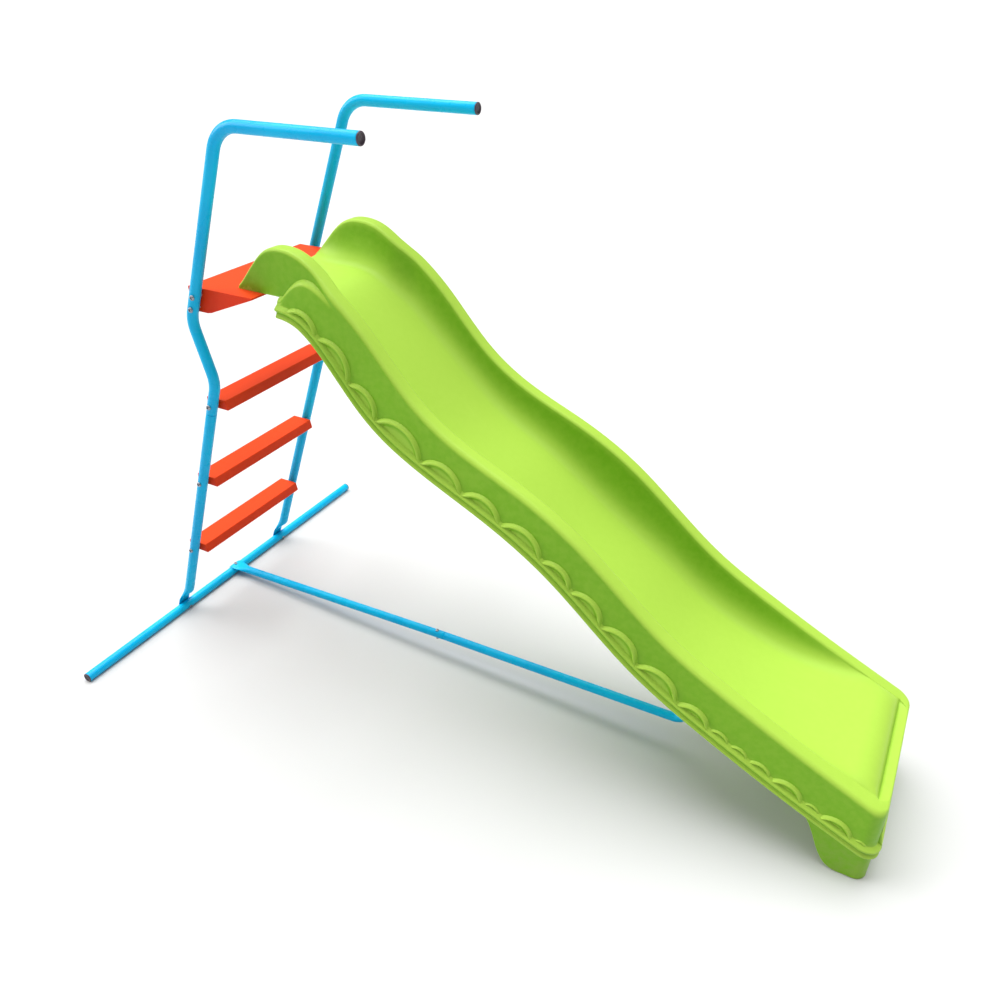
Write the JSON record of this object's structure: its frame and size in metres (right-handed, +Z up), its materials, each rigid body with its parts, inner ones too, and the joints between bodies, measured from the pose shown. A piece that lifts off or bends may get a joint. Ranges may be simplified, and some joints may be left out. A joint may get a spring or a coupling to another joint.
{
  "type": "wave slide",
  "caption": "Free-standing garden slide: a moulded wave chute with rolled rims on a leaning bolted tube ladder with treads, platform, handrails, base bar and brace.",
  "frame": {"origin": "on the ground, under the middle of the whole object", "axes": "+X from the ladder to the exit of the chute, +Y to the left of a child sliding down, +Z up"},
  "size_m": [1.8938, 1.0966, 1.3427],
  "materials": {
    "lime_plastic": "semi-gloss moulded polyethylene",
    "orange_plastic": "semi-gloss moulded plastic",
    "blue_paint": "gloss powder coat",
    "black_plastic": "matt moulded plastic",
    "zinc_steel": "zinc plated"
  },
  "bodies": {
    "root": {"base_bar": "blue_paint", "base_bar_cap_left": "black_plastic", "base_bar_cap_right": "black_plastic", "brace_joint_bolt": "zinc_steel", "brace_joint_nut": "zinc_steel", "brace_lug_bolt": "zinc_steel", "brace_lug_nut": "zinc_steel", "brace_saddle_screw": "zinc_steel", "chute": "lime_plastic", "foot_bolt_left": "zinc_steel", "foot_bolt_right": "zinc_steel", "foot_nut_left": "zinc_steel", "foot_nut_right": "zinc_steel", "front_brace_tube": "blue_paint", "lip_bolt_left": "zinc_steel", "lip_bolt_right": "zinc_steel", "lip_nut_left": "zinc_steel", "lip_nut_right": "zinc_steel", "lower_upright_left": "blue_paint", "lower_upright_right": "blue_paint", "platform_lower_left_bolt": "zinc_steel", "platform_lower_left_nut": "zinc_steel", "platform_lower_right_bolt": "zinc_steel", "platform_lower_right_nut": "zinc_steel", "platform_step": "orange_plastic", "platform_upper_left_bolt": "zinc_steel", "platform_upper_left_nut": "zinc_steel", "platform_upper_right_bolt": "zinc_steel", "platform_upper_right_nut": "zinc_steel", "rail_end_cap_left": "black_plastic", "rail_end_cap_right": "black_plastic", "rear_brace_tube": "blue_paint", "tread_1": "orange_plastic", "tread_1_left_bolt": "zinc_steel", "tread_1_left_nut": "zinc_steel", "tread_1_right_bolt": "zinc_steel", "tread_1_right_nut": "zinc_steel", "tread_2": "orange_plastic", "tread_2_left_bolt": "zinc_steel", "tread_2_left_nut": "zinc_steel", "tread_2_right_bolt": "zinc_steel", "tread_2_right_nut": "zinc_steel", "tread_3": "orange_plastic", "tread_3_left_bolt": "zinc_steel", "tread_3_left_nut": "zinc_steel", "tread_3_right_bolt": "zinc_steel", "tread_3_right_nut": "zinc_steel", "upper_upright_left": "blue_paint", "upper_upright_right": "blue_paint"}
  },
  "joints": []
}
